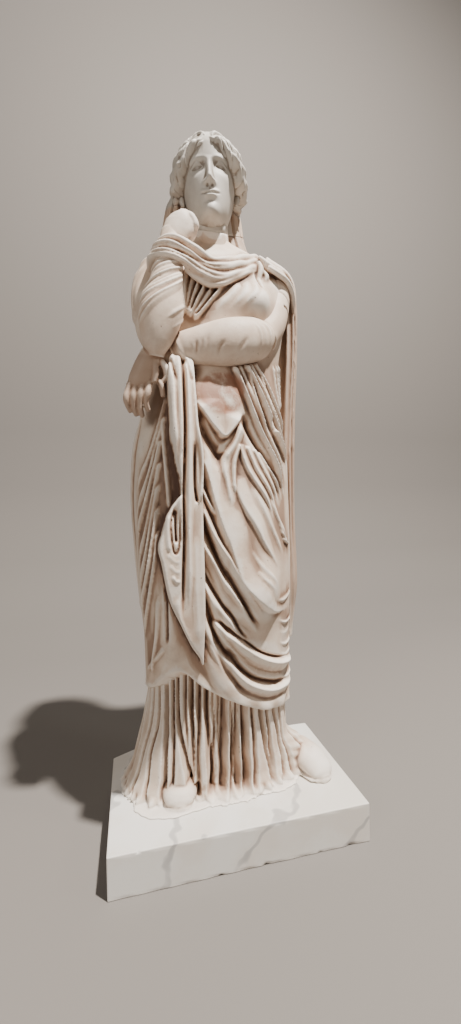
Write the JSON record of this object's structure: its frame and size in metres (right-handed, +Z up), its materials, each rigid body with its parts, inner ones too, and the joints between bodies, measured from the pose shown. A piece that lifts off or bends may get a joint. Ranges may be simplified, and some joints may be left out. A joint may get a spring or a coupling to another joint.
{
  "type": "draped marble statue",
  "caption": "Standing draped woman in marble, hand raised to the chin and arm across the waist, on a low rectangular slab; a free-standing decorative figure.",
  "frame": {"origin": "middle of the slab's underside, on the ground", "axes": "+Z up, -Y the way the figure faces, +X to the viewer's right (the figure's left)"},
  "size_m": [0.634, 0.396, 1.8354],
  "materials": {
    "slab_marble": "honed white marble with faint grey veins",
    "figure_marble": "weathered warm cream marble, stained pinkish brown in the grooves",
    "head_marble": "smooth greyish white marble"
  },
  "bodies": {
    "root": {"plinth": "slab_marble", "figure": "figure_marble", "head": "head_marble"}
  },
  "joints": []
}
